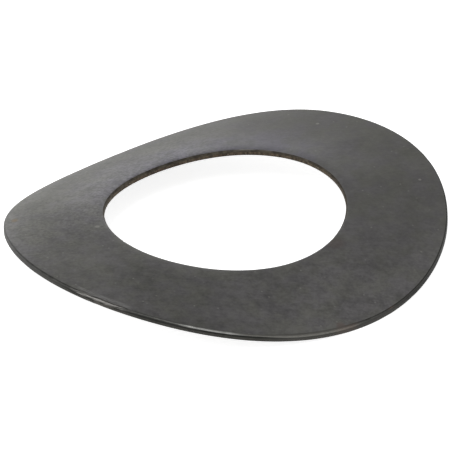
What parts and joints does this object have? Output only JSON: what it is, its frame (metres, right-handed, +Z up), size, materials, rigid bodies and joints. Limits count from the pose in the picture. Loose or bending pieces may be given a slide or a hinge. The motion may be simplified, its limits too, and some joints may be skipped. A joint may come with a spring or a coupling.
{
  "type": "spring washer",
  "caption": "Curved spring washer: a flat ring of dark spring steel, bowed into a shallow arch, which rests on its low ends and pushes back when a bolt head or nut flattens it.",
  "frame": {"origin": "on the bore's axis, on the surface that the washer's two low ends rest on", "axes": "+Z up along the bore's axis; the washer bows up along X, with its two low ends at -X (bent tighter) and +X; Y runs along the bend line"},
  "size_m": [0.04, 0.04, 0.0045],
  "materials": {
    "blackened_steel": "satin, oil-blackened spring steel"
  },
  "bodies": {
    "root": {"washer": "blackened_steel"}
  },
  "joints": []
}
